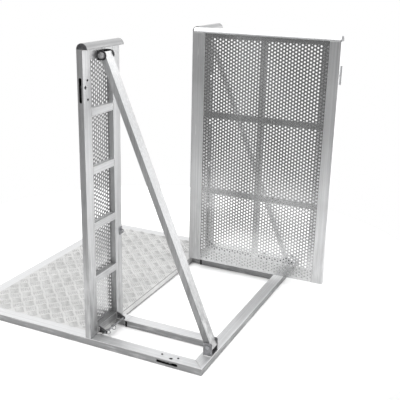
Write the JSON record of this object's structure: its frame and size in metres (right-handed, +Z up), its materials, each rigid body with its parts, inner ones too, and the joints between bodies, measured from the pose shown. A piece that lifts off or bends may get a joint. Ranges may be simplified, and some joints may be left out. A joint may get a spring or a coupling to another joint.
{
  "type": "stage barrier with gate",
  "caption": "Folding stage front barrier unit: floor frame with tread plate, braced perforated side panels and a perforated gate that swings open to the rear.",
  "frame": {"origin": "on the floor under the cross rail, midway along the unit, in the front plane of the panels", "axes": "+X to the right along the barrier seen from the tread plate side, -Y towards the tread plate (audience side), +Z up"},
  "size_m": [1.2, 1.365, 1.2],
  "materials": {
    "frame_aluminium": "raw satin",
    "sheet_aluminium": "mill",
    "tread_aluminium": "five-bar tread",
    "zinc_steel": "zinc plated",
    "black_plastic": "moulded"
  },
  "bodies": {
    "base": {"side_rail_right": "frame_aluminium", "side_rail_left": "frame_aluminium", "front_rail": "frame_aluminium", "rear_rail": "frame_aluminium", "cross_rail": "frame_aluminium", "inner_rail_right": "frame_aluminium", "inner_rail_left": "frame_aluminium", "rail_spigots": "frame_aluminium", "rail_collars": "black_plastic", "tread_plate": "tread_aluminium", "plate_bearers": "frame_aluminium", "brace_lugs": "frame_aluminium", "lug_pins": "zinc_steel", "fold_clevises": "zinc_steel", "fold_bolts": "zinc_steel", "base_lock_case": "zinc_steel", "base_catch_case": "zinc_steel"},
    "panel_left": {"outer_stile_left": "frame_aluminium", "inner_stile_left": "frame_aluminium", "panel_rails_left": "frame_aluminium", "panel_sheet_left": "sheet_aluminium", "top_cap_left": "frame_aluminium", "cap_plugs_left": "black_plastic", "foot_gussets_left": "zinc_steel", "toe_rod_left": "zinc_steel", "brace_bracket_left": "zinc_steel", "pivot_bolt_left": "zinc_steel", "fold_tabs_left": "frame_aluminium", "upper_catch_case": "zinc_steel", "gate_hinge_hooks": "zinc_steel"},
    "panel_right": {"outer_stile_right": "frame_aluminium", "inner_stile_right": "frame_aluminium", "panel_rails_right": "frame_aluminium", "panel_sheet_right": "sheet_aluminium", "top_cap_right": "frame_aluminium", "cap_plugs_right": "black_plastic", "foot_gussets_right": "zinc_steel", "toe_rod_right": "zinc_steel", "brace_bracket_right": "zinc_steel", "pivot_bolt_right": "zinc_steel", "fold_tabs_right": "frame_aluminium", "upper_lock_case": "zinc_steel", "gate_staple": "zinc_steel"},
    "brace_left": {"brace_left": "frame_aluminium"},
    "brace_right": {"brace_right": "frame_aluminium"},
    "gate": {"gate_hinge_stile": "frame_aluminium", "gate_free_stile": "frame_aluminium", "gate_rails": "frame_aluminium", "gate_centre_rib": "frame_aluminium", "gate_strips": "sheet_aluminium", "gate_sheet": "sheet_aluminium", "gate_top_cap": "frame_aluminium", "gate_cap_plugs": "black_plastic", "gate_hinge_straps": "zinc_steel", "stop_plate": "frame_aluminium"},
    "latch_bolt": {"latch_bolt": "zinc_steel"},
    "upper_hook": {"upper_hook": "zinc_steel"},
    "base_hook": {"base_hook": "zinc_steel"}
  },
  "joints": [
    {"name": "panel_fold", "type": "hinge", "parent": "base", "child": "panel_left", "pos_m": [0, -0.01, 0.041], "axis": [1, 0, 0], "range_deg": [0, 90]},
    {"name": "panel_fold_right", "type": "hinge", "parent": "base", "child": "panel_right", "pos_m": [0, -0.01, 0.041], "axis": [1, 0, 0], "range_deg": [0, 90]},
    {"name": "brace_fold_left", "type": "hinge", "parent": "panel_left", "child": "brace_left", "pos_m": [-0.475, 0.045, 1.15], "axis": [1, 0, 0], "range_deg": [-18.5, 0]},
    {"name": "brace_fold_right", "type": "hinge", "parent": "panel_right", "child": "brace_right", "pos_m": [0.475, 0.045, 1.15], "axis": [1, 0, 0], "range_deg": [-18.5, 0]},
    {"name": "gate_swing", "type": "hinge", "parent": "panel_left", "child": "gate", "pos_m": [-0.3325, 0.0485, 0.6], "axis": [0, 0, 1], "range_deg": [-90, 10]},
    {"name": "latch_slide", "type": "slide", "parent": "gate", "child": "latch_bolt", "axis": [0, 1, 0], "range_m": [0, 0.018]},
    {"name": "upper_hook_turn", "type": "hinge", "parent": "panel_right", "child": "upper_hook", "pos_m": [0.585, 0.0125, 1.042], "axis": [0, -1, 0], "range_deg": [0, 120]},
    {"name": "base_hook_turn", "type": "hinge", "parent": "base", "child": "base_hook", "pos_m": [0.585, 0.381, 0.015], "axis": [0, 0, 1], "range_deg": [0, 120]}
  ],
  "couplings": [
    {"joint": "panel_fold_right", "follows": "panel_fold", "ratio": 1},
    {"joint": "brace_fold_left", "follows": "panel_fold", "ratio": -0.2},
    {"joint": "brace_fold_right", "follows": "panel_fold", "ratio": -0.2}
  ]
}
